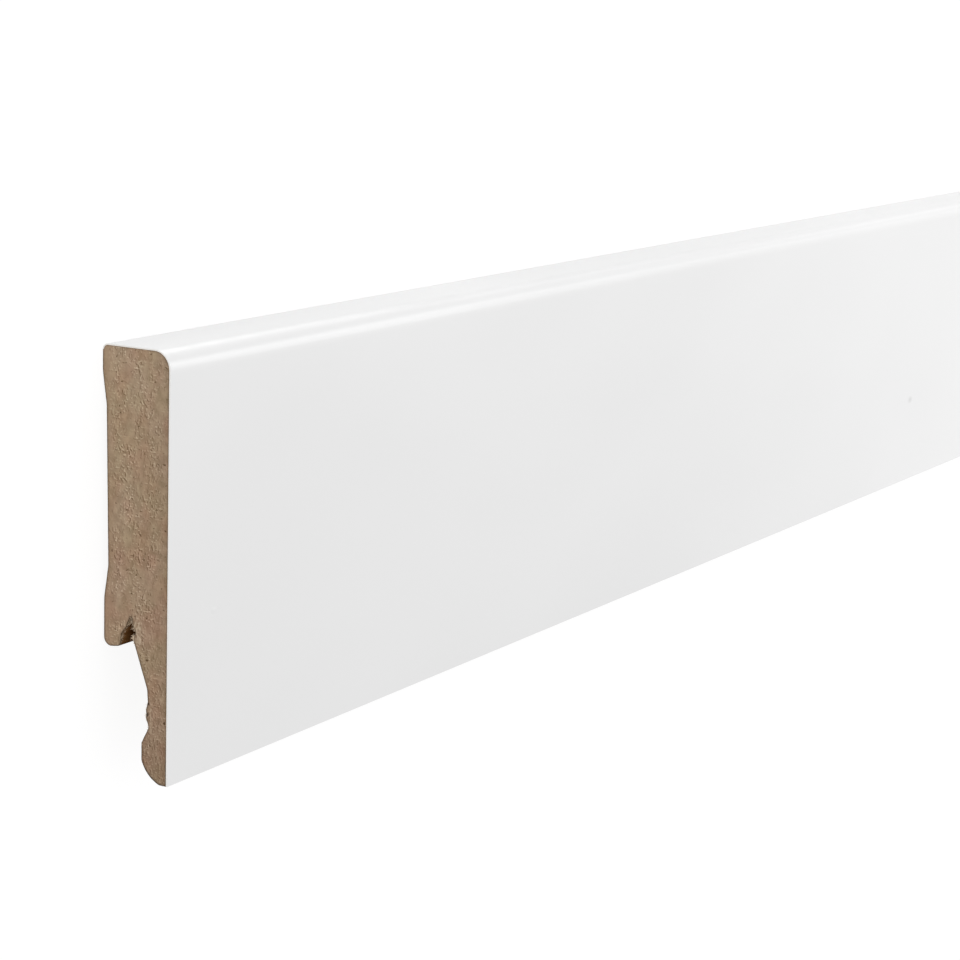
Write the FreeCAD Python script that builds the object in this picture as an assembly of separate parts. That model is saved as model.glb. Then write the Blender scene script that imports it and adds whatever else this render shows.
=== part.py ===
import FreeCAD, Part

import math
import os
from collections import namedtuple

from FreeCAD import Vector

# A length of foil-wrapped MDF skirting board, in millimetres.
# The section is drawn as it stands against a wall: depth counts from the white
# face towards the wall, and height counts from the toe that stands on the floor.
# The finished length lies on its back, with the white face up and the top edge
# towards +Y, centred over the origin and resting on z = 0.

# The stock, foil included
LENGTH = 2400.0
HEIGHT = 80.0
THICKNESS = 15.0

# The decor foil, and the outside radii of the two edges it is wrapped over
FOIL = 0.25
FRONT_ROUND = 3.5
BACK_ROUND = 1.1

# The shallow relief in the back, between the two lands that face the wall.
# The lower land is set forward a little, so that the top edge closes on the wall first.
UPPER_LAND = 5.0
UPPER_RAMP = 6.0
RELIEF_DEPTH = 0.9
LOWER_RAMP = 6.0
LOWER_LAND = 8.7
LOWER_SET = 0.5
RAMP_BLEND = 7.0

# The nose above the cable channel: its shoulder drops from the lip to the back
SHOULDER = 24.7
NOSE_DROP = 0.5
NOSE_ROUND = 1.6
LIP_ROUND = 0.6

# The V groove that a wall clip's tongue goes up into, just behind the leg
GROOVE_MOUTH = 3.35
GROOVE_DEPTH = 6.5
GROOVE_LEAN = 0.6
GROOVE_TIP = 0.25

# The leg in front of the cable channel: thick under the groove, thin lower down
LEG_ROOT = 7.7
LEG_ROOT_RISE = 1.3
LEG_SLOPE = 8.65
LEG_THIN = 4.55
LEG_BLEND = 3.0
THIN_BAND = 3.4

# The bead and the hollow below it, where a snap-on clip takes hold of the leg
BEAD = 0.32
BEAD_BAND = 1.75
BEAD_EASE = 0.5
HOLLOW_DEPTH = 0.35
HOLLOW_RISE = 3.2
HOLLOW_BLEND = 1.4

# The foot, with its back edge curving in to a narrow toe on the floor
FOOT = 5.85
FOOT_BAND = 3.2
FOOT_EASE = 0.5
TOE_RISE = 4.2
TOE_BOW = 0.7
TOE_FLAT = 1.75

# One corner of an outline: its place, the radius that rounds it off, and how far
# the stretch after it bows out of the section
Corner = namedtuple("Corner", "depth height round bow", defaults=(0.0, 0.0))


def at(depth, height):
    """The near end's point at a depth behind the white face and a height above the toe."""
    return Vector(-LENGTH / 2, height - HEIGHT / 2, THICKNESS - depth)


def unit(way):
    """The direction of a way, one millimetre long."""
    return Vector(way).normalize()


def bowed(start, end, bow):
    """The arc from start to end whose middle stands that far outside the straight way."""
    chord = end - start
    outward = unit(Vector(1, 0, 0).cross(chord))
    return Part.Arc(start, start + chord / 2 + outward * bow, end).toShape()


def outline(corners):
    """The closed wire through the corners, where a round gives way to a stretch too short for it."""
    places = [at(corner.depth, corner.height) for corner in corners]
    ways = [places[(i + 1) % len(places)] - place for i, place in enumerate(places)]
    halves = [(math.pi - ways[i - 1].getAngle(way)) / 2 for i, way in enumerate(ways)]
    wants = [corner.round / math.tan(half) for corner, half in zip(corners, halves)]
    needs = [want + wants[(i + 1) % len(wants)] for i, want in enumerate(wants)]
    shares = [min(1.0, way.Length / max(need, way.Length)) for way, need in zip(ways, needs)]

    rounds = []
    for i, place in enumerate(places):
        reach = wants[i] * min(shares[i - 1], shares[i])
        arrive = place - unit(ways[i - 1]) * reach
        leave = place + unit(ways[i]) * reach
        rounds.append((arrive, leave))

    edges = []
    for i, (arrive, leave) in enumerate(rounds):
        if corners[i].round:
            inward = (arrive + leave) / 2 - places[i]
            reach = (arrive - places[i]).Length
            radius = reach * math.tan(halves[i])
            apex = places[i] + unit(inward) * (reach / math.cos(halves[i]) - radius)
            edges.append(Part.Arc(arrive, apex, leave).toShape())
        following = rounds[(i + 1) % len(rounds)][0]
        if corners[i].bow:
            edges.append(bowed(leave, following, corners[i].bow))
        elif not leave.isEqual(following, 1e-6):
            edges.append(Part.LineSegment(leave, following).toShape())
    return Part.Wire(edges)


def stock(corners):
    """A section run out to the full length."""
    return Part.Face(outline(corners)).extrude(Vector(LENGTH, 0, 0))


def wrapped_side(inset):
    """The front, top and back arris at an inset from the outside, from the toe to the back."""
    return [
        Corner(inset, 0.0),
        Corner(inset, HEIGHT - inset, round=FRONT_ROUND - inset),
        Corner(THICKNESS - inset, HEIGHT - inset, round=BACK_ROUND - inset),
        Corner(THICKNESS - inset, HEIGHT - BACK_ROUND),
    ]


def back_relief():
    """From the back arris over the upper land, the relief and the lower land to the nose."""
    upper = HEIGHT - UPPER_LAND
    lower = SHOULDER + LOWER_LAND
    nose = THICKNESS - LOWER_SET
    return [
        Corner(THICKNESS, HEIGHT - BACK_ROUND),
        Corner(THICKNESS, upper, round=RAMP_BLEND),
        Corner(THICKNESS - RELIEF_DEPTH, upper - UPPER_RAMP, round=RAMP_BLEND),
        Corner(nose - RELIEF_DEPTH, lower + LOWER_RAMP, round=RAMP_BLEND),
        Corner(nose, lower, round=RAMP_BLEND),
        Corner(nose, SHOULDER - NOSE_DROP, round=NOSE_ROUND),
    ]


def clip_groove():
    """Along the shoulder to the lip, and up into the V of the groove."""
    lip = LEG_ROOT + GROOVE_MOUTH
    return [
        Corner(lip, SHOULDER, round=LIP_ROUND),
        Corner(LEG_ROOT + GROOVE_LEAN, SHOULDER + GROOVE_DEPTH, round=GROOVE_TIP),
    ]


def leg_and_foot():
    """Down the back of the leg, over the bead and its hollow, and round the foot to the toe."""
    root = SHOULDER + LEG_ROOT_RISE
    foot_top = TOE_RISE + FOOT_BAND
    hollow = foot_top + HOLLOW_RISE
    thin_top = root - LEG_SLOPE
    bead_top = thin_top - THIN_BAND
    return [
        Corner(LEG_ROOT, root, round=LEG_BLEND),
        Corner(LEG_THIN, thin_top, round=LEG_BLEND),
        Corner(LEG_THIN + BEAD, bead_top, round=BEAD_EASE),
        Corner(LEG_THIN + BEAD, bead_top - BEAD_BAND, round=BEAD_EASE),
        Corner(LEG_THIN - HOLLOW_DEPTH, hollow, round=HOLLOW_BLEND),
        Corner(FOOT, foot_top, round=FOOT_EASE),
        Corner(FOOT, TOE_RISE, bow=TOE_BOW),
        Corner(TOE_FLAT, 0.0),
    ]


def mdf_core():
    """The MDF moulding under the foil, with its milled back bare."""
    return stock(wrapped_side(FOIL) + back_relief() + clip_groove() + leg_and_foot())


def white_foil():
    """The foil from the foot of the face up over the top, trimmed flush with the back."""
    return stock(wrapped_side(0.0) + wrapped_side(FOIL)[::-1])


os.makedirs("parts", exist_ok=True)
mdf_core().exportStep("parts/mdf_core.step")
white_foil().exportStep("parts/white_foil.step")
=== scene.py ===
import math
import random

import bmesh
import bpy
from mathutils import Euler, Matrix, Vector, geometry, kdtree, noise


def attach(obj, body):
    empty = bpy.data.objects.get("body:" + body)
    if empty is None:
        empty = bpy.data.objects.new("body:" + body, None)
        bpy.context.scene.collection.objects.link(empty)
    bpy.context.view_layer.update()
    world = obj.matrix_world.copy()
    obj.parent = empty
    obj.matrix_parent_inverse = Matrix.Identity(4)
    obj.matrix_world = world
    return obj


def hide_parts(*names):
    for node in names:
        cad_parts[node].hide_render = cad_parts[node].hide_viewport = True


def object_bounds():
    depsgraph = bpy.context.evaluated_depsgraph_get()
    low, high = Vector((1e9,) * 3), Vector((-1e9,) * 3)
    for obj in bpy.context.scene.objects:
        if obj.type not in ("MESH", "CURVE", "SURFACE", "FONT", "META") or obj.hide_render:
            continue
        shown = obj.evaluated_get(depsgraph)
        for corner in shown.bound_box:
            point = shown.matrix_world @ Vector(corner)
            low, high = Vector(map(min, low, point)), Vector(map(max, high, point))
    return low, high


# A length of foil-wrapped MDF skirting board, lying on its back with the white face up.
# Metres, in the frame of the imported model: X along the board with the visible end at -X,
# Y from the toe to the top edge, Z out of the white face.

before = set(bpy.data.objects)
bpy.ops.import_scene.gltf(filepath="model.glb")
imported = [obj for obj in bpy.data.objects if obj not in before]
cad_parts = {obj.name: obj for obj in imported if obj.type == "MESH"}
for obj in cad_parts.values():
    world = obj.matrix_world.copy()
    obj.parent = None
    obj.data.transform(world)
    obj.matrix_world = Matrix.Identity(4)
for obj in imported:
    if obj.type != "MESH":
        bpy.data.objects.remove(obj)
cad_low, cad_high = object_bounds()
random.seed(20)

MM = 0.001
NEAR = cad_low.x
FAR = cad_high.x
TOE = cad_low.y
FACE = cad_high.z
HEIGHT_IN_MM = (cad_high.y - TOE) / MM

# The camera, about the board as it stands against a wall: the distances are from the
# near end, from the white face and from the toe, and the turn is from straight along it
CAMERA_BEFORE_END = 377.43 * MM
CAMERA_BEFORE_FACE = 280.63 * MM
CAMERA_ABOVE_TOE = 152.15 * MM
CAMERA_TURN = 29.908
CAMERA_DOWN = 11.312
CAMERA_ROLL = 1.819
LENS = 100.735
SENSOR = 36.0
PHOTO_SIZE = 960

# Two small faults in the foil and two nicks in the bead, by their pixels in the photograph
FLECK_PIXEL = (910.0, 399.7)
PIMPLE_PIXEL = (213.8, 610.0)
NICK_PIXELS = ((147.3, 714.8), (148.2, 704.0))

# How far the painted shade of each nick reaches
NICK_RADII = (0.5 * MM, 0.38 * MM)

# How finely the sections and the sawn ends are drawn, and which edges are shaded sharp
WELD = 0.002 * MM
CORE_STEP = 0.26 * MM
FOIL_STEP = 0.9 * MM
END_GRID = 0.21 * MM
END_STEPS = (0.0, 0.15, 0.4, 0.8, 1.5, 3.0, 6.0, 12.0, 25.0, 50.0)
SPAN = 100 * MM
SHARP_ANGLE = math.radians(40)

# Where the cutter has torn the fibres: heights above the toe, depths behind the face,
# and how badly, from 0 to 1
TORN_BANDS = (
    ("clip groove, leg side", (25.0, 31.0), (6.0, 9.2), 1.0),
    ("clip groove, nose side", (25.0, 31.0), (9.2, 11.2), 0.35),
    ("bead and hollow", (8.6, 16.6), (3.5, 5.6), 0.6),
)

# How rough the worst of it is, and about how long and how wide its lumps are
TEAR = 0.2 * MM
TEAR_GRAIN = (0.9 * MM, 0.45 * MM)

# How far the rims of the sawn ends are worn, how far in the wear reaches, and how far the
# dark of the rim does
RIM_WEAR = 0.05 * MM
RIM_WEAR_REACH = 0.3 * MM
RIM_SHADE = 0.2 * MM

# The deepest pit in a sawn end, and about how large the pits are up the board and through it
PIT = 0.14 * MM
PIT_GRAIN = (0.7 * MM, 0.6 * MM)

# Where the visible end has lost some fibre: the height and depth of the middle, how far
# round it that reaches, how far towards the face its edge has gone back, or away from the
# face where negative, and how far that goes along the board
BITES = (
    ("clip groove, leg side", (27.8, 8.0), 1.3, 0.6, 3.0),
    ("clip groove, nose side", (27.2, 10.1), 1.7, -0.42, 2.5),
    ("bead", (15.2, 4.9), 1.8, 0.25, 8.0),
)

# Painted shade on the walls of the clip groove: between which heights and depths in
# millimetres, how far up from the lowest the painted shade comes in, and how far along from an end
GROOVE_HEIGHTS = (24.3, 31.4)
GROOVE_DEPTHS = (7.2, 11.6)
GROOVE_SHADE_RISE = 0.5
GROOVE_SHADE_START = 1.8 * MM

# Fibres that stand off the torn bands: how many, between which distances from an end and
# heights above the toe, how long the longest is and how thick they are, in millimetres
FIBRES = (
    (900, (0.0, 1.0), (8.0, 32.0), 0.75, 0.045),
    (500, (1.0, 14.0), (8.0, 32.0), 0.9, 0.045),
    (900, (14.0, 1200.0), (8.0, 32.0), 1.1, 0.045),
    (150, (0.0, 0.5), (24.6, 27.0), 0.85, 0.08),
)
FIBRE_SEGMENTS = 3
FIBRE_TAPER = 0.6

# How deep they are rooted, and how far their bodies and their tips stay from the board's
# ends, in millimetres
FIBRE_ROOT = 0.05
FIBRE_MARGIN = 0.09
FIBRE_TIP_MARGIN = 0.01

# What each point of the MDF is marked with, for its material
MARKS = ("pit", "tear", "rim", "groove_shade")

# How the bake's map is shared out: the sides below, an end in each strip above them
SIDES_SHARE = 0.58
END_SHARES = (0.61, 0.81)
END_MARGIN = 0.01


# Small helpers

def tone(red, green, blue):
    """An sRGB colour of 0 to 255 as Blender's linear one."""
    return tuple(((c / 255 + 0.055) / 1.055) ** 2.4 for c in (red, green, blue)) + (1.0,)


def link(thing):
    """Adds an object to the scene, and gives it back."""
    bpy.context.scene.collection.objects.link(thing)
    return thing


# The camera

def photo_camera():
    """The camera of the photograph, laid down with the board."""
    upright = (
        Euler((math.radians(90 - CAMERA_DOWN), 0.0, math.radians(CAMERA_TURN - 90))).to_matrix()
        @ Matrix.Rotation(math.radians(CAMERA_ROLL), 3, "Z")
    )
    lay_down = Matrix(((1, 0, 0), (0, 0, 1), (0, -1, 0)))
    data = bpy.data.cameras.new("photo_camera")
    data.lens = LENS
    data.sensor_width = SENSOR
    data.clip_start = 0.01
    data.clip_end = 100.0
    camera = link(bpy.data.objects.new("photo_camera", data))
    camera.matrix_world = Matrix.Translation((
        NEAR - CAMERA_BEFORE_END,
        TOE + CAMERA_ABOVE_TOE,
        FACE + CAMERA_BEFORE_FACE,
    )) @ (lay_down @ upright).to_4x4()
    bpy.context.scene.camera = camera
    return camera


def pictured(camera, pixel, point, normal):
    """Where the photograph shows the plane through that point, at a pixel."""
    focal = LENS / SENSOR * PHOTO_SIZE
    middle = PHOTO_SIZE / 2
    way = Vector(((pixel[0] - middle) / focal, (middle - pixel[1]) / focal, -1.0))
    place = camera.matrix_world.translation
    way = camera.matrix_world.to_3x3() @ way
    return place + way * (point - place).dot(normal) / way.dot(normal)


# Sections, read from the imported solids

def near_rim(node):
    """The outline of a solid's near end, as (y, z) points in counterclockwise order."""
    solid = bmesh.new()
    solid.from_mesh(node.data)
    bmesh.ops.remove_doubles(solid, verts=solid.verts, dist=WELD)
    solid.normal_update()
    neighbours = {}
    for edge in solid.edges:
        in_plane = all(abs(vert.co.x - NEAR) < WELD for vert in edge.verts)
        on_side = any(abs(face.normal.x) < 0.5 for face in edge.link_faces)
        if in_plane and on_side:
            a, b = edge.verts
            neighbours.setdefault(a, []).append(b)
            neighbours.setdefault(b, []).append(a)
    start = min(neighbours, key=lambda vert: (vert.co.z, vert.co.y))
    loop = [start]
    came_from, here = start, neighbours[start][0]
    while here is not start:
        loop.append(here)
        onward = [vert for vert in neighbours[here] if vert is not came_from]
        came_from, here = here, onward[0]
    points = [Vector((vert.co.y, vert.co.z)) for vert in loop]
    solid.free()
    turns = zip(points, points[1:] + points[:1])
    area = sum(a.x * b.y - a.y * b.x for a, b in turns)
    return points if area > 0 else points[::-1]


def smooth_loop(corners, step, sharp=math.radians(25), longer=1.8):
    """The outline with its faceted rounds bent back into curves, a point about every step."""
    count = len(corners)
    ways = [corners[(i + 1) % count] - corners[i] for i in range(count)]
    points = []
    for i, way in enumerate(ways):
        start, end = corners[i], corners[(i + 1) % count]
        tangents = []
        for before, after in ((ways[i - 1], way), (way, ways[(i + 1) % count])):
            if before.angle(after) > sharp:
                tangent = way
            elif before.length > longer * after.length:
                tangent = before
            elif after.length > longer * before.length:
                tangent = after
            else:
                tangent = before.normalized() + after.normalized()
            tangents.append(tangent.normalized() * way.length)
        pieces = max(1, round(way.length / step))
        for k in range(pieces):
            t = k / pieces
            points.append(
                start * (1 + 2 * t) * (1 - t) ** 2
                + tangents[0] * t * (1 - t) ** 2
                + end * t * t * (3 - 2 * t)
                - tangents[1] * t * t * (1 - t)
            )
    # No curve passes below the toe
    for point in points:
        point.x = max(point.x, TOE)
    return points


def outward_ways(loop):
    """At each point of an outline, the unit direction out of the section."""
    ways = []
    for i in range(len(loop)):
        along = loop[(i + 1) % len(loop)] - loop[i - 1]
        ways.append(Vector((along.y, -along.x)).normalized())
    return ways


def grid_inside(loop, step):
    """A grid of points inside an outline, with each one's distance from the edge."""
    edge_points = kdtree.KDTree(len(loop))
    for i, point in enumerate(loop):
        edge_points.insert(point.to_3d(), i)
    edge_points.balance()
    pairs = list(zip(loop, loop[1:] + loop[:1]))
    low, high = min(p.x for p in loop), max(p.x for p in loop)
    inside = []
    for row in range(1, int((high - low) / step)):
        y = low + row * step
        crossings = sorted(
            a.y + (b.y - a.y) * (y - a.x) / (b.x - a.x)
            for a, b in pairs if (a.x > y) != (b.x > y)
        )
        for start, end in zip(crossings[::2], crossings[1::2]):
            first = math.ceil(start / step)
            for column in range(first, int(end / step) + 1):
                point = Vector((y, (column + 0.5 * (row % 2)) * step))
                clearance = edge_points.find(point.to_3d())[2]
                if start < point.y < end and clearance > 0.6 * step:
                    inside.append((point, clearance))
    return inside


# Wear of the sawn ends and the milled back

def section_place(point):
    """A section point's height above the toe and depth behind the face, in millimetres."""
    return (point.x - TOE) / MM, (FACE - point.y) / MM


def end_distance(x):
    """How far a place along the board is from the nearer end."""
    return min(x - NEAR, FAR - x)


def torn(point):
    """How badly the fibres are torn at a point of the section, from 0 to 1."""
    height, depth = section_place(point)
    worst = 0.0
    for _, heights, depths, harm in TORN_BANDS:
        if heights[0] < height < heights[1] and depths[0] < depth < depths[1]:
            across = (height - heights[0]) / (heights[1] - heights[0])
            worst = max(worst, harm * min(1.0, 4 * across, 4 * (1 - across)))
    return worst


def bitten(x, point):
    """A section point, moved where the near end has lost some fibre."""
    height, depth = section_place(point)
    shift = 0.0
    for _, (middle_height, middle_depth), reach, deep, length in BITES:
        off = math.hypot(height - middle_height, depth - middle_depth) / reach
        if off < 1:
            shift += deep * MM * (1 - off * off) ** 2 * math.exp((NEAR - x) / (length * MM))
    return Vector((point.x, point.y + shift))


def painted_groove_shade(x, point):
    """How much painted shade the clip groove's wall gets at a place, from 0 to 1."""
    height, depth = section_place(point)
    low, high = GROOVE_HEIGHTS
    if not (low < height < high and GROOVE_DEPTHS[0] < depth < GROOVE_DEPTHS[1]):
        return 0.0
    along = 1 - math.exp(-end_distance(x) / GROOVE_SHADE_START)
    return min(1.0, (height - low) / GROOVE_SHADE_RISE) * along


def pitting(point, side):
    """How deep the sawn end is pitted at a point, as a share of the deepest."""
    grain = Vector((point.x / PIT_GRAIN[0], point.y / PIT_GRAIN[1], 11.0 * side))
    rough = 0.5 + 0.5 * noise.noise(grain)
    fine = 0.5 + 0.5 * noise.noise(grain * 2.3 + Vector((5.2, 1.3, 0.0)))
    pore = max(0.0, noise.noise(grain * 1.1 + Vector((0.0, 9.1, 4.4))) - 0.36) / 0.4
    tear = torn(point) * 0.4
    return min(1.0, 0.30 * rough + 0.25 * fine + 0.6 * pore + tear * fine)


def stations():
    """The places along X where a section is drawn, close together at both ends."""
    near = [NEAR + step * MM for step in END_STEPS]
    far = [FAR - step * MM for step in reversed(END_STEPS)]
    spans = round((far[0] - near[-1]) / SPAN)
    between = [near[-1] + (far[0] - near[-1]) * i / spans for i in range(1, spans)]
    return near + between + far


# Meshes

def finished(name, mesh, materials):
    """A bmesh made into a smooth-shaded piece that rides on the board's body."""
    data = bpy.data.meshes.new(name)
    mesh.to_mesh(data)
    mesh.free()
    for material in materials:
        data.materials.append(material)
    data.shade_smooth()
    data.set_sharp_from_angle(angle=SHARP_ANGLE)
    piece = link(bpy.data.objects.new(name, data))
    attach(piece, "root")
    return piece


def marked(mesh, place, *marks):
    """A new point of a mesh, with its marks."""
    vert = mesh.verts.new(place)
    for name, mark in zip(MARKS, marks):
        vert[mesh.verts.layers.float[name]] = mark
    return vert


def add_sides(mesh, rings, loop, places):
    """The faces from each ring of a swept outline to the next, mapped for the bake."""
    bake = mesh.loops.layers.uv["OFBake"]
    count = len(loop)
    along = [0.0]
    for i in range(count):
        along.append(along[-1] + (loop[(i + 1) % count] - loop[i]).length)
    # Half by distance and half by ring, which gives the ends more of the map
    reach = [
        0.5 * (x - NEAR) / (FAR - NEAR) + 0.5 * k / (len(places) - 1)
        for k, x in enumerate(places)
    ]
    for k, (ring, following) in enumerate(zip(rings, rings[1:])):
        for i in range(count):
            j = (i + 1) % count
            face = mesh.faces.new((ring[i], ring[j], following[j], following[i]))
            shares = ((k, i), (k, i + 1), (k + 1, i + 1), (k + 1, i))
            for corner, (across, up) in zip(face.loops, shares):
                corner[bake].uv = (reach[across], SIDES_SHARE * along[up] / along[-1])


def add_ends(mesh, rings, loop, inside, pitted):
    """The filled ends of a swept outline, mapped for the bake."""
    bake = mesh.loops.layers.uv["OFBake"]
    flat_scale = (1 - 2 * END_MARGIN) / (cad_high.y - cad_low.y)
    count = len(loop)
    # The 1 asks for the triangles inside the outline alone
    points, _, triangles, given, _, _ = geometry.delaunay_2d_cdt(
        loop + [point for point, _ in inside],
        [(i, (i + 1) % count) for i in range(count)],
        [list(range(count))], 1, 1e-9,
    )
    for ring, side, share in zip((rings[0], rings[-1]), (-1, 1), END_SHARES):
        corners = []
        for point, origins in zip(points, given):
            on_rim = [i for i in origins if i < count]
            if on_rim:
                corners.append(ring[on_rim[0]])
                continue
            clearance = inside[origins[0] - count][1]
            depth = pitted(point, side)
            end = NEAR + depth * PIT if side < 0 else FAR - depth * PIT
            rim_darkening = math.exp(-clearance / RIM_SHADE)
            left = bitten(end, point)
            corners.append(marked(mesh, (end, left.x, left.y), depth, torn(point), rim_darkening, 0.0))
        for triangle in triangles:
            face = mesh.faces.new([corners[k] for k in triangle])
            face.material_index = 1
            for corner in face.loops:
                place = corner.vert.co
                corner[bake].uv = (
                    END_MARGIN + (place.y - cad_low.y) * flat_scale,
                    share + place.z * flat_scale,
                )


def swept(loop, inside, places, moved, pitted):
    """An outline run through the places along X, with a filled end at each and a map for
    the bake. moved(x, i) is where the outline's point i stands at x, and
    pitted(point, side) how far a point inside it is let in at that side's end."""
    mesh = bmesh.new()
    for name in MARKS:
        mesh.verts.layers.float.new(name)
    mesh.loops.layers.uv.new("OFBake")
    rings = []
    for x in places:
        rim_darkening = math.exp(-end_distance(x) / RIM_SHADE)
        rings.append([
            marked(mesh, moved(x, i), 0.0, torn(point), rim_darkening, painted_groove_shade(x, point))
            for i, point in enumerate(loop)
        ])
    add_sides(mesh, rings, loop, places)
    add_ends(mesh, rings, loop, inside, pitted)
    bmesh.ops.recalc_face_normals(mesh, faces=mesh.faces)
    return mesh


def core_mesh(loop, outward):
    """The MDF moulding, with pitted sawn ends and torn fibres where the cutter tore them."""
    harm = [torn(point) for point in loop]
    long, wide = TEAR_GRAIN

    def moved(x, i):
        point = loop[i]
        rough = noise.noise(Vector((x / long, point.x / wide, point.y / wide)))
        wear = RIM_WEAR * math.exp(-end_distance(x) / RIM_WEAR_REACH) * (0.6 + 0.6 * rough)
        shift = harm[i] * TEAR * (rough - 0.15) - wear
        point = bitten(x, point) + outward[i] * shift
        return (x, point.x, point.y)

    return swept(loop, grid_inside(loop, END_GRID), stations(), moved, pitting)


def between_ends(place, margin):
    """A place, kept at least that many millimetres inside the board's ends."""
    place.x = min(max(place.x, NEAR + margin * MM), FAR - margin * MM)
    return place


def add_strand(mesh, root, way, bend, length, thickness):
    """One thin three-sided strand from its root, tapered and bent towards its tip."""
    rings = []
    for k in range(FIBRE_SEGMENTS):
        t = k / FIBRE_SEGMENTS
        place = between_ends(root + (way + bend * t) * length * t, FIBRE_MARGIN)
        across = way.orthogonal().normalized() * thickness * MM * (1 - FIBRE_TAPER * t)
        rings.append([
            mesh.verts.new(place + Matrix.Rotation(turn, 3, way) @ across)
            for turn in (0.0, math.tau / 3, -math.tau / 3)
        ])
    tip = mesh.verts.new(between_ends(root + (way + bend) * length, FIBRE_TIP_MARGIN))
    for ring, following in zip(rings, rings[1:]):
        for j in range(3):
            mesh.faces.new((ring[j - 1], ring[j], following[j], following[j - 1]))
    for j in range(3):
        mesh.faces.new((rings[-1][j - 1], rings[-1][j], tip))


def fibre_mesh(loop, outward):
    """Torn fibres standing off the groove, the bead and the hollow."""
    mesh = bmesh.new()
    harm = [torn(point) for point in loop]
    heights = [section_place(point)[0] for point in loop]
    for count, reach, (low, high), longest, thickness in FIBRES:
        chances = [worst * (low < height < high) for worst, height in zip(harm, heights)]
        for _ in range(count):
            i = random.choices(range(len(loop)), chances)[0]
            from_end = random.uniform(*reach) * MM
            way_in = random.choice((1, -1))
            x = NEAR + from_end if way_in > 0 else FAR - from_end
            length = random.uniform(0.3, 1.0) * longest * harm[i] * MM
            out = Vector((0.0, outward[i].x, outward[i].y))
            side = Vector((0.0, -outward[i].y, outward[i].x))
            way = out * random.uniform(0.5, 1.0) + side * random.gauss(0.0, 0.5)
            way = (way - Vector((way_in * random.gauss(0.35, 0.5), 0.0, 0.0))).normalized()
            bend = Vector([random.gauss(0.0, 0.35) for _ in range(3)])
            root = Vector((x, *bitten(x, loop[i]))) - out * FIBRE_ROOT * MM
            add_strand(mesh, root, way, bend, length, thickness)
    return mesh


def foil_mesh():
    """The white foil from the toe up over the top edge."""
    loop = smooth_loop(near_rim(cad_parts["white_foil"]), FOIL_STEP)

    def moved(x, i):
        return (x, loop[i].x, loop[i].y)

    return swept(loop, [], stations(), moved, lambda point, side: 0.0)


# Materials

def add(tree, kind, inputs=None, **settings):
    """A shader node with its inputs given as values or as another node's output."""
    made = tree.nodes.new("ShaderNode" + kind)
    for name, value in settings.items():
        setattr(made, name, value)
    for name, value in (inputs or {}).items():
        socket = made.inputs[name]
        if isinstance(value, bpy.types.NodeSocket):
            tree.links.new(value, socket)
        else:
            socket.default_value = value
    return made


def principled(name, **sockets):
    """A material with an empty tree apart from its output and one Principled shader."""
    material = bpy.data.materials.new(name)
    material.use_nodes = True
    tree = material.node_tree
    shader = tree.nodes["Principled BSDF"]
    for socket, value in sockets.items():
        shader.inputs[socket.replace("_", " ")].default_value = value
    return material, tree, shader


def scaled(tree, x, y, z, offset=(0.0, 0.0, 0.0)):
    """The piece's own coordinates, with one unit for that many millimetres along each axis."""
    place = add(tree, "TexCoord").outputs["Object"]
    inputs = {
        "Vector": place,
        "Location": offset,
        "Scale": (1 / (x * MM), 1 / (y * MM), 1 / (z * MM)),
    }
    return add(tree, "Mapping", inputs).outputs["Vector"]


def noise_value(tree, vector, detail, roughness=0.5, distortion=0.0):
    """A noise pattern of scale 1 in those coordinates."""
    inputs = {
        "Vector": vector,
        "Scale": 1.0,
        "Detail": detail,
        "Roughness": roughness,
        "Distortion": distortion,
    }
    return add(tree, "TexNoise", inputs).outputs["Fac"]


def attribute(tree, name):
    """One of the marks on the mesh."""
    return add(tree, "Attribute", attribute_name=name).outputs["Fac"]


def ramp(tree, value, *stops):
    """A colour ramp through (position, colour) stops."""
    made = add(tree, "ValToRGB", {"Fac": value})
    for position, colour in stops[1:-1]:
        made.color_ramp.elements.new(position).color = colour
    ends = made.color_ramp.elements
    ends[0].position, ends[0].color = stops[0]
    ends[-1].position, ends[-1].color = stops[-1]
    return made.outputs["Color"]


def blended(tree, factor, first, second, blend="MIX"):
    """Two colours mixed by a factor."""
    inputs = {0: factor, 6: first, 7: second}
    return add(tree, "Mix", inputs, data_type="RGBA", blend_type=blend).outputs[2]


def tinted(tree, factor, colour, tint):
    """A colour multiplied by a tint, as far as the factor says."""
    return blended(tree, factor, colour, tint, "MULTIPLY")


def eased(tree, value, low, high, to_low=0.0, to_high=1.0):
    """A value's range from low to high stretched to another, and held at its ends."""
    inputs = {"Value": value, "From Min": low, "From Max": high, "To Min": to_low, "To Max": to_high}
    return add(tree, "MapRange", inputs).outputs["Result"]


def by_depth(tree, start, end, first=0.0, last=1.0):
    """A value that goes from first to last between two depths behind the face, in
    millimetres, and is held past them."""
    place = add(tree, "SeparateXYZ", {0: add(tree, "TexCoord").outputs["Object"]})
    return eased(tree, place.outputs["Z"], FACE - start * MM, FACE - end * MM, first, last)


def by_height(tree, start, end, first=0.0, last=1.0):
    """A value that goes from first to last between two heights above the toe, in
    millimetres, and is held past them."""
    place = add(tree, "SeparateXYZ", {0: add(tree, "TexCoord").outputs["Object"]})
    return eased(tree, place.outputs["Y"], TOE + start * MM, TOE + end * MM, first, last)


def combined(tree, operation, first, second):
    """Arithmetic on two values."""
    return add(tree, "Math", {0: first, 1: second}, operation=operation).outputs["Value"]


def weighted(tree, *parts):
    """The sum of (value, weight) pairs."""
    total = combined(tree, "MULTIPLY", *parts[0])
    for value, weight in parts[1:]:
        total = combined(tree, "ADD", total, combined(tree, "MULTIPLY", value, weight))
    return total


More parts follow.
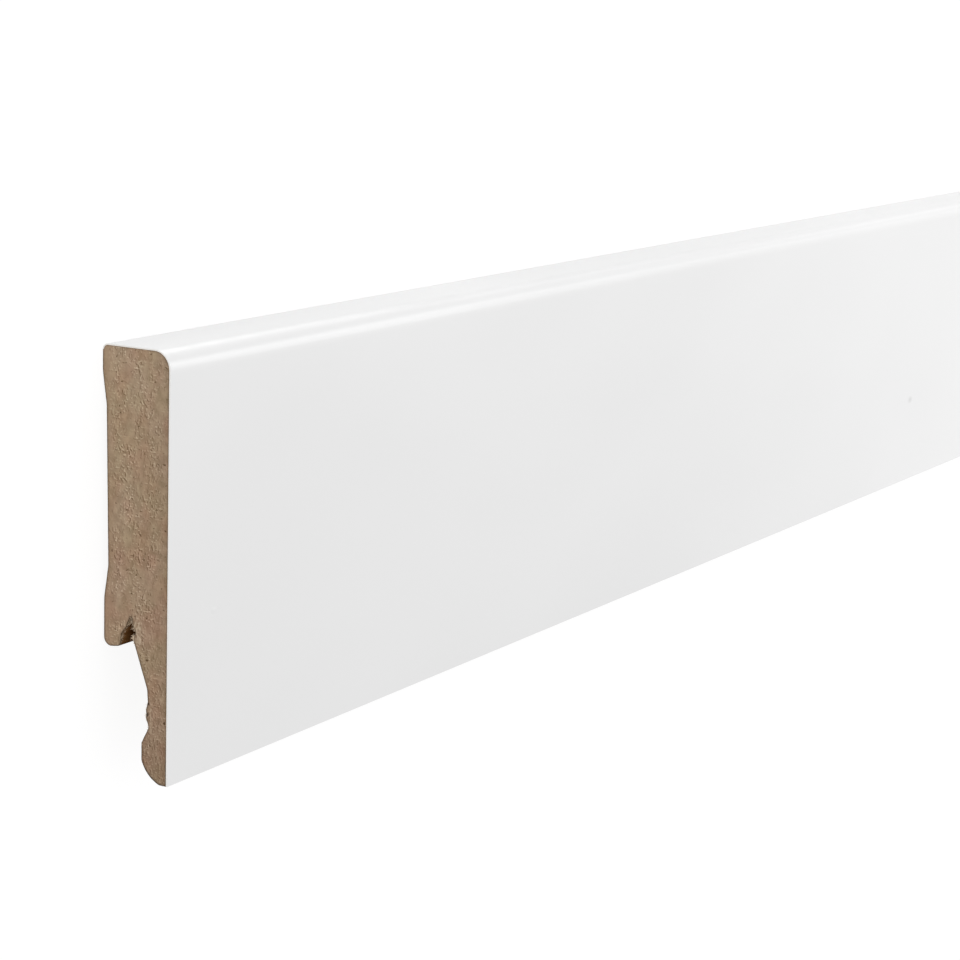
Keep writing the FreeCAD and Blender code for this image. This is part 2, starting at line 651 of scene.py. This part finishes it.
def spot(tree, centre, radii):
    """1 at a point of the board, falling to 0 at those radii from it, in metres."""
    place = add(tree, "TexCoord").outputs["Object"]
    scale = [1 / radius for radius in radii]
    inputs = {
        "Vector": place,
        "Location": [-c * s for c, s in zip(centre, scale)],
        "Scale": scale,
    }
    there = add(tree, "Mapping", inputs).outputs["Vector"]
    distance = add(tree, "VectorMath", {0: there}, operation="LENGTH").outputs["Value"]
    return eased(tree, distance, 1.0, 0.0)


def strand_size(long):
    """A strand's size in millimetres along the board, up it and through it."""
    return (0.65 * long, 0.95, 0.52)


def strand_strength(tree, long, sawn):
    """How much the strands stand out: in loose groups, less near the denser surfaces, and
    evenly in the sawn end of the leg."""
    core = combined(
        tree, "MULTIPLY",
        by_depth(tree, 0.6, 4.0, 0.35, 1.0),
        by_depth(tree, 14.6, 12.0, 0.45, 1.0),
    )
    bunch = noise_value(tree, scaled(tree, 6.0 * long, 5.0, 3.2, (2.0, 5.1, 1.7)), 1.0, 0.5)
    strength = combined(tree, "MULTIPLY", core, eased(tree, bunch, 0.36, 0.60, 0.15, 1.0))
    if sawn:
        strength = combined(tree, "MAXIMUM", strength, by_height(tree, 28, 20, 0.0, 0.75))
    return strength


def with_strands(tree, colour, strand, long, sawn):
    """A colour with pale strands and specks, each with a painted shadow beside it as if lit
    from one side, and pale parts that are partly painted highlight. Also where the pale strands and
    their painted shadows are."""
    # The strand and speck patterns moved a little, for the painted shadow beside each
    beside = noise_value(tree, scaled(tree, *strand_size(long), (3.1, 3.25, 3.5)), 1.0, 0.5, 0.6)
    speck = noise_value(tree, scaled(tree, 0.5 * long, 0.42, 0.44, (1.9, 6.3, 2.2)), 0.0)
    dot = noise_value(tree, scaled(tree, 0.5 * long, 0.42, 0.44, (1.9, 6.7, 2.5)), 0.0)
    strength = strand_strength(tree, long, sawn)
    # Painted shadows beside the strands and beside the pale specks, and pale strands and specks that
    # are partly painted highlight
    shadow = combined(tree, "MULTIPLY", strength, eased(tree, beside, 0.53, 0.67, 0.0, 0.95))
    lit = combined(tree, "MULTIPLY", strength, eased(tree, strand, 0.54, 0.68, 0.0, 0.7))
    dark = combined(tree, "MULTIPLY", strength, eased(tree, dot, 0.62, 0.74, 0.0, 0.4))
    bright = combined(tree, "MULTIPLY", strength, eased(tree, speck, 0.61, 0.73, 0.0, 0.7))
    for amount, strand_tone in (
        (shadow, tone(115, 93, 71)),
        (lit, tone(197, 176, 152)),
        (dark, tone(118, 96, 74)),
        (bright, tone(212, 193, 169)),
    ):
        colour = blended(tree, amount, colour, strand_tone)
    return colour, lit, shadow


def with_slow_changes_and_foot_shade(tree, colour, long):
    """A colour with the board's slow changes: its clouds, the paler layer along the back and
    darker towards the face; and painted shade that darkens it towards the foot."""
    cloud = noise_value(tree, scaled(tree, 9.0 * long, 7.0, 4.5), 1.0, 0.5)
    pink = noise_value(tree, scaled(tree, 9.0 * long, 6.0, 4.0, (4.4, 1.2, 8.3)), 1.0, 0.5)
    colour = tinted(tree, eased(tree, cloud, 0.35, 0.65), colour, tone(250, 253, 246))
    colour = tinted(tree, eased(tree, pink, 0.42, 0.68), colour, tone(254, 244, 244))
    colour = blended(tree, by_depth(tree, 11.5, 13.8, 0.0, 0.4), colour, tone(170, 144, 119))
    # Painted shade: darker towards the foot, as under light from above, and darker still at the foot
    colour = tinted(tree, by_height(tree, 72, 30), colour, tone(249, 245, 245))
    colour = tinted(tree, by_height(tree, 16, 5), colour, tone(236, 234, 231))
    return tinted(tree, by_depth(tree, 9.0, 1.0), colour, tone(240, 237, 236))


def with_dark_rims_and_groove_shade(tree, colour):
    """A colour with the sawn rims darker, most at the toe, and painted shade in the clip groove."""
    # The rim is less dark where the foil covers it
    uncovered = combined(
        tree, "MULTIPLY",
        by_height(tree, HEIGHT_IN_MM - 2.0, HEIGHT_IN_MM - 0.5, 1.0, 0.35),
        by_depth(tree, 2.0, 0.5, 1.0, 0.65),
    )
    # The sawn ends are darker along their rims, most at the toe
    rim = combined(tree, "MULTIPLY", attribute(tree, "rim"), uncovered)
    colour = tinted(tree, rim, colour, tone(122, 121, 113))
    # Painted shade in the clip groove, deeper up from its lowest wall and away from the ends
    groove_shade_tint = ramp(
        tree, attribute(tree, "groove_shade"),
        (0.0, tone(255, 255, 255)),
        (0.35, tone(190, 158, 116)),
        (1.0, tone(104, 67, 28)),
    )
    colour = tinted(tree, 1.0, colour, groove_shade_tint)
    toe_rim = combined(tree, "MULTIPLY", rim, by_height(tree, 7, 3))
    return tinted(tree, toe_rim, colour, tone(165, 171, 178))


def mdf_material(name, sawn, nicks):
    """Raw medium-density fibreboard, sawn at the ends or milled along the back: an even
    ground with pale strands and specks beside painted shadows, and a few dark pores."""
    specular = 0.05 if sawn else 0.0
    material, tree, shader = principled(name, Roughness=0.9, Specular_IOR_Level=specular)
    long = 1.0 if sawn else 3.0
    clump = noise_value(tree, scaled(tree, 1.6 * long, 1.9, 1.5), 1.0, 0.5, 0.3)
    strand = noise_value(tree, scaled(tree, *strand_size(long), (3.1, 3.1, 3.1)), 1.0, 0.5, 0.6)
    pore = noise_value(tree, scaled(tree, 1.0 * long, 0.7, 0.8, (7.7, 7.7, 7.7)), 0.0)
    grit = noise_value(tree, scaled(tree, 0.5 * long, 0.5, 0.5, (5.3, 5.3, 5.3)), 1.0, 0.5)

    colour = ramp(
        tree, clump,
        (0.32, tone(154, 134, 111)),
        (0.50, tone(164, 143, 120)),
        (0.68, tone(174, 153, 129)),
    )
    colour, lit, shadow = with_strands(tree, colour, strand, long, sawn)
    colour = blended(tree, eased(tree, pore, 0.24, 0.14, 0.0, 0.85), colour, tone(88, 68, 47))
    colour = tinted(tree, eased(tree, grit, 0.3, 0.7, 0.5, 0.0), colour, tone(240, 238, 236))
    colour = with_slow_changes_and_foot_shade(tree, colour, long)
    relief = weighted(tree, (clump, 0.6), (lit, 0.35), (shadow, -0.3), (grit, 0.15))
    if sawn:
        hole = eased(tree, attribute(tree, "pit"), 0.6, 1.0, 0.0, 0.4)
        colour = tinted(tree, hole, colour, tone(170, 150, 128))
    else:
        streak = noise_value(tree, scaled(tree, 60.0, 0.5, 0.5), 2.0, 0.6)
        colour = tinted(tree, eased(tree, streak, 0.3, 0.7, 0.0, 0.4), colour, tone(212, 200, 188))
        relief = weighted(tree, (relief, 1.0), (streak, 0.8))
    tear = combined(tree, "MULTIPLY", attribute(tree, "tear"), eased(tree, strand, 0.45, 0.6, 0.0, 0.5))
    colour = blended(tree, tear, colour, tone(200, 181, 156))
    colour = with_dark_rims_and_groove_shade(tree, colour)
    if sawn:
        # Painted shade in the two nicks in the bead
        for nick, radius in zip(nicks, NICK_RADII):
            nick_shade = eased(tree, spot(tree, nick, (radius, radius, 0.8 * radius)), 0.0, 0.5, 0.0, 0.85)
            colour = blended(tree, nick_shade, colour, tone(58, 46, 38))

    bump = add(tree, "Bump", {"Height": relief, "Strength": 0.5, "Distance": 0.12 * MM})
    tree.links.new(colour, shader.inputs["Base Color"])
    tree.links.new(bump.outputs["Normal"], shader.inputs["Normal"])
    return material


def fibre_material():
    """Raw torn fibre, paler than the cut board."""
    material, tree, shader = principled("torn_fibre", Roughness=0.9, Specular_IOR_Level=0.05)
    patch = noise_value(tree, scaled(tree, 0.9, 0.9, 0.9), 1.0, 0.5)
    colour = blended(tree, patch, tone(170, 148, 121), tone(222, 203, 178))
    tree.links.new(colour, shader.inputs["Base Color"])
    return material


def foil_material(fleck, pimple):
    """Satin white decor foil, with a fleck of dirt and a grain trapped under it."""
    material, tree, shader = principled("white_foil", Roughness=0.28)
    cloud = noise_value(tree, scaled(tree, 60.0, 30.0, 30.0), 1.0, 0.4)
    peel = noise_value(tree, scaled(tree, 3.2, 2.0, 2.0), 1.0, 0.4)
    colour = blended(tree, cloud, tone(228, 228, 228), tone(233, 233, 233))
    dirt = combined(tree, "MULTIPLY", spot(tree, fleck, (2.1 * MM, 1.2 * MM, 3.0 * MM)), 0.27)
    colour = blended(tree, dirt, colour, tone(120, 120, 120))
    grain = spot(tree, pimple, (1.0 * MM, 0.7 * MM, 3.0 * MM))
    height = weighted(tree, (peel, 0.5), (grain, 90.0))
    bump = add(tree, "Bump", {"Height": height, "Strength": 0.08, "Distance": 0.05 * MM})
    tree.links.new(colour, shader.inputs["Base Color"])
    tree.links.new(bump.outputs["Normal"], shader.inputs["Normal"])
    return material


def cut_foil_material():
    """The foil's cut edge, duller than its printed face."""
    material, tree, shader = principled("foil_cut_edge", Roughness=0.5)
    fine = noise_value(tree, scaled(tree, 0.4, 0.4, 0.4), 2.0, 0.5)
    colour = blended(tree, fine, tone(224, 220, 213), tone(234, 232, 229))
    tree.links.new(colour, shader.inputs["Base Color"])
    return material


# The floor, the world and the lamps

# How bright the white world is as a light
SKY = 0.72

# The floor in metres, and its colour as it lights the board. Where it is seen it glows,
# and a little lit grey brings it up to white, except in the board's shadow.
FLOOR_SIZE = 60.0
FLOOR_GAP = 0.05 * MM
FLOOR_COLOUR = (0.8, 0.8, 0.8, 1.0)
FLOOR_LIT = (0.16, 0.16, 0.16, 1.0)
FLOOR_GLOW = 0.89

# The lamps' middle is that of the stretch that the photograph shows. Each has its azimuth
# from +X towards +Y and its elevation in degrees, how far off and how large it is in metres,
# and its level.
SHOWN_MIDDLE = 200 * MM

# These light the board most. Mirrored in the foil, they would bleach its face when it is
# seen from the far end or across the toe.
MAIN_LAMPS = (
    ("key", 70, 25, 1.3, (1.13, 0.52), 1.37),
    ("fill", 180, 21, 2.5, (1.5, 1.5), 2.3),
    ("side_low", 90, 6, 3.0, (2.6, 0.6), 1.66),
)

# One low at the side, and the rest beyond the far end, for the sheen along the face and
# the round
SHEEN_LAMPS = (
    ("corner_low", 50, 6, 3.0, (1.2, 0.6), 0.25),
    ("far_high", 10, 38, 3.0, (1.37, 0.55), 3.37),
    ("far_left", -12, 38, 3.0, (0.55, 0.55), 0.5),
    ("far_line", 14, 38, 3.0, (0.55, 0.55), 0.9),
    ("far_low", 0, 18, 3.0, (1.54, 0.55), 0.85),
    ("far_round", 20, 28, 3.0, (0.55, 0.55), 1.92),
    ("far_middle", 0, 28, 3.0, (0.55, 0.55), 0.3),
    ("far_side", 20, 8, 3.0, (0.55, 0.55), 0.9),
)

# Beside the top edge, for the two stretches of its upper side that are a little brighter.
# Each also has its distance along the board in millimetres, before its azimuth.
TOP_LAMPS = (
    ("top_patch", 113, 90, 0, 0.03, (0.02, 0.008), 0.9),
    ("top_far", 420, 80, 3, 0.20, (0.20, 0.03), 1.14),
)
TOP_LAMPS_DEPTH = 8 * MM

# A row of small gridded lamps beside the top edge, for the highlight on its upper side,
# with their places along the board in millimetres. The highlight fades out along it.
EDGE_LAMPS = 8
EDGE_LAMP = (34, -12, 0.024, (0.0105, 0.0098))
EDGE_LAMP_SPREAD = 44
EDGE_FIRST = -4
EDGE_SPACING = 12
EDGE_BELOW_TOP = 0.3 * MM
EDGE_DEPTH = 2.0 * MM
EDGE_LEVEL = 1.31
EDGE_FADE = 70
EDGE_END = 95
EDGE_END_FADE = 40


def seen_directly(tree):
    """1 for rays that show the background as it is: from the camera, a gloss or a glass."""
    rays = add(tree, "LightPath").outputs
    first = combined(tree, "MAXIMUM", rays["Is Camera Ray"], rays["Is Glossy Ray"])
    return combined(tree, "MAXIMUM", first, rays["Is Transmission Ray"])


def white_world():
    """A world that is seen as white and lights the board a little less."""
    world = bpy.data.worlds.new("studio")
    bpy.context.scene.world = world
    world.use_nodes = True
    tree = world.node_tree
    background = tree.nodes["Background"]
    background.inputs["Color"].default_value = (1.0, 1.0, 1.0, 1.0)
    strength = eased(tree, seen_directly(tree), 0.0, 1.0, SKY, 1.0)
    tree.links.new(strength, background.inputs["Strength"])


def pale_floor():
    """A floor that shows white where it is lit, and a little of the board's shadow."""
    material = bpy.data.materials.new("pale_floor")
    material.use_nodes = True
    tree = material.node_tree
    tree.nodes.remove(tree.nodes["Principled BSDF"])
    seen = seen_directly(tree)
    plain = add(tree, "BsdfDiffuse", {"Color": FLOOR_COLOUR})
    lit = add(tree, "BsdfDiffuse", {"Color": FLOOR_LIT})
    glow = add(tree, "Emission", {"Color": (1.0, 1.0, 1.0, 1.0), "Strength": FLOOR_GLOW})
    white = add(tree, "AddShader", {0: lit.outputs[0], 1: glow.outputs[0]})
    both = add(tree, "MixShader", {0: seen, 1: plain.outputs[0], 2: white.outputs[0]})
    tree.links.new(both.outputs[0], tree.nodes["Material Output"].inputs["Surface"])

    mesh = bmesh.new()
    bmesh.ops.create_grid(mesh, x_segments=1, y_segments=1, size=FLOOR_SIZE / 2)
    data = bpy.data.meshes.new("floor")
    mesh.to_mesh(data)
    mesh.free()
    data.materials.append(material)
    floor = link(bpy.data.objects.new("floor", data))
    floor.location.z = -FLOOR_GAP


def panel(name, aim, azimuth, elevation, distance, size, level, spread=180.0, mirrored=True):
    """A soft rectangular lamp facing its aim from that far off. The azimuth is from +X
    towards +Y, and the level is how bright its surface looks, with 1 for white. One that
    isn't mirrored lights the board but doesn't show in its gloss."""
    data = bpy.data.lights.new(name, "AREA")
    data.shape = "RECTANGLE"
    data.size, data.size_y = size
    data.energy = level * math.pi * size[0] * size[1]
    if spread < 180:
        # A narrowed lamp sends its whole energy into its cone, so it gets less of it
        half = math.radians(spread) / 2
        data.spread = 2 * half
        data.energy *= 1 - half / math.tan(half)
    lamp = link(bpy.data.objects.new(name, data))
    turn, lift = math.radians(azimuth), math.radians(elevation)
    way = Vector((math.cos(turn) * math.cos(lift), math.sin(turn) * math.cos(lift), math.sin(lift)))
    lamp.location = aim + way * distance
    lamp.rotation_euler = way.to_track_quat("Z", "Y").to_euler()
    lamp.visible_camera = False
    lamp.visible_glossy = mirrored


# The making

bpy.context.scene.view_settings.view_transform = "Standard"
camera = photo_camera()
fleck = pictured(camera, FLECK_PIXEL, cad_high, Vector((0.0, 0.0, 1.0)))
pimple = pictured(camera, PIMPLE_PIXEL, cad_high, Vector((0.0, 0.0, 1.0)))
nicks = [pictured(camera, pixel, cad_low, Vector((1.0, 0.0, 0.0))) for pixel in NICK_PIXELS]

milled = mdf_material("mdf_milled", False, nicks)
sawn = mdf_material("mdf_sawn", True, nicks)

core_loop = smooth_loop(near_rim(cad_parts["mdf_core"]), CORE_STEP)
core_outward = outward_ways(core_loop)
core = finished("skirting_core", core_mesh(core_loop, core_outward), [milled, sawn])
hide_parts("mdf_core")

fibres = finished("torn_fibres", fibre_mesh(core_loop, core_outward), [fibre_material()])

foil = finished("skirting_foil", foil_mesh(), [foil_material(fleck, pimple), cut_foil_material()])
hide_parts("white_foil")

white_world()
pale_floor()
shown_middle = Vector((NEAR + SHOWN_MIDDLE, 0.0, FACE))
for lamps, mirrored in ((MAIN_LAMPS, False), (SHEEN_LAMPS, True)):
    for name, *aiming in lamps:
        panel(name, shown_middle, *aiming, mirrored=mirrored)

for name, along, *aiming in TOP_LAMPS:
    panel(name, Vector((NEAR + along * MM, cad_high.y, FACE - TOP_LAMPS_DEPTH)), *aiming)

for k in range(EDGE_LAMPS):
    along = EDGE_SPACING * k + EDGE_FIRST
    edge = Vector((NEAR + along * MM, cad_high.y - EDGE_BELOW_TOP, FACE - EDGE_DEPTH))
    level = EDGE_LEVEL * math.exp(-along / EDGE_FADE) * min(1.0, (EDGE_END - along) / EDGE_END_FADE)
    panel(f"edge_{k}", edge, *EDGE_LAMP, level, spread=EDGE_LAMP_SPREAD)
